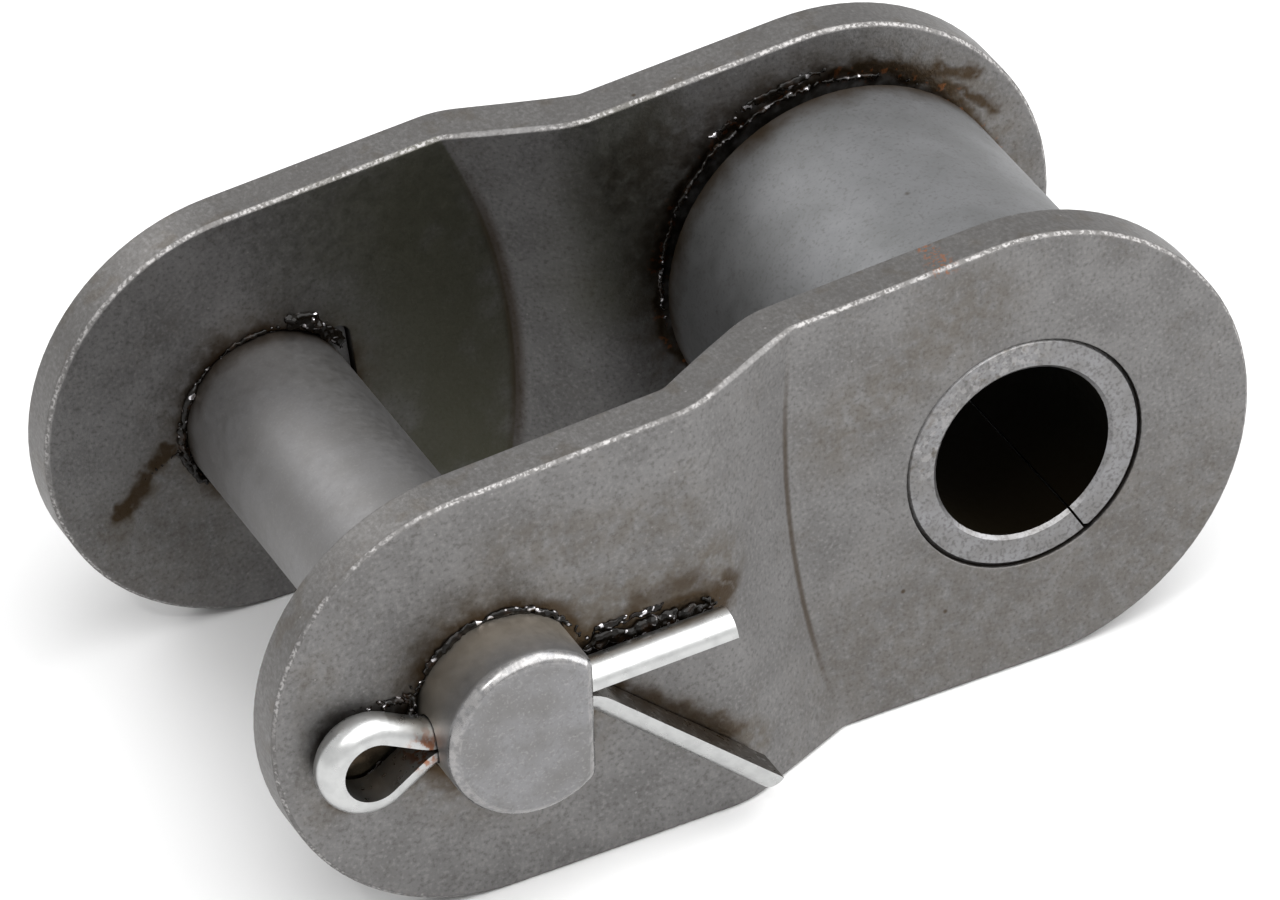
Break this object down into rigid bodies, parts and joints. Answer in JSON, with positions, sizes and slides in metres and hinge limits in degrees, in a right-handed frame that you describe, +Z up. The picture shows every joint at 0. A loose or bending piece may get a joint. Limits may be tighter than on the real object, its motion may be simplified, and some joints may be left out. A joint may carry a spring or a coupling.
{
  "type": "offset chain connecting link",
  "caption": "Offset connecting link of a simplex roller chain: cranked side plates, seamed bush, loose roller, flatted pin and spread split pin.",
  "frame": {"origin": "on the bush axis, midway between the two side plates", "axes": "+Y along the bush and pin axes from the split pin's side to the pin head's side; +X from the pin towards the bush, along the level lower edges of the plates; +Z up"},
  "size_m": [0.0346, 0.0239, 0.0158],
  "materials": {
    "plate_steel": "matte mid grey, tumbled, with brown oil stains",
    "bush_steel": "satin grey",
    "roller_steel": "smooth satin grey",
    "pin_steel": "smooth satin grey",
    "split_pin_steel": "bright drawn wire",
    "grease": "wet brown-black grease"
  },
  "bodies": {
    "link": {"near_plate": "plate_steel", "far_plate": "plate_steel", "bush": "bush_steel", "pin": "pin_steel", "split_pin": "split_pin_steel"},
    "roller": {"roller": "roller_steel"}
  },
  "joints": [
    {"name": "roller_spin", "type": "hinge", "parent": "link", "child": "roller", "pos_m": [0, 0, 0], "axis": [0, 1, 0], "continuous": true}
  ]
}
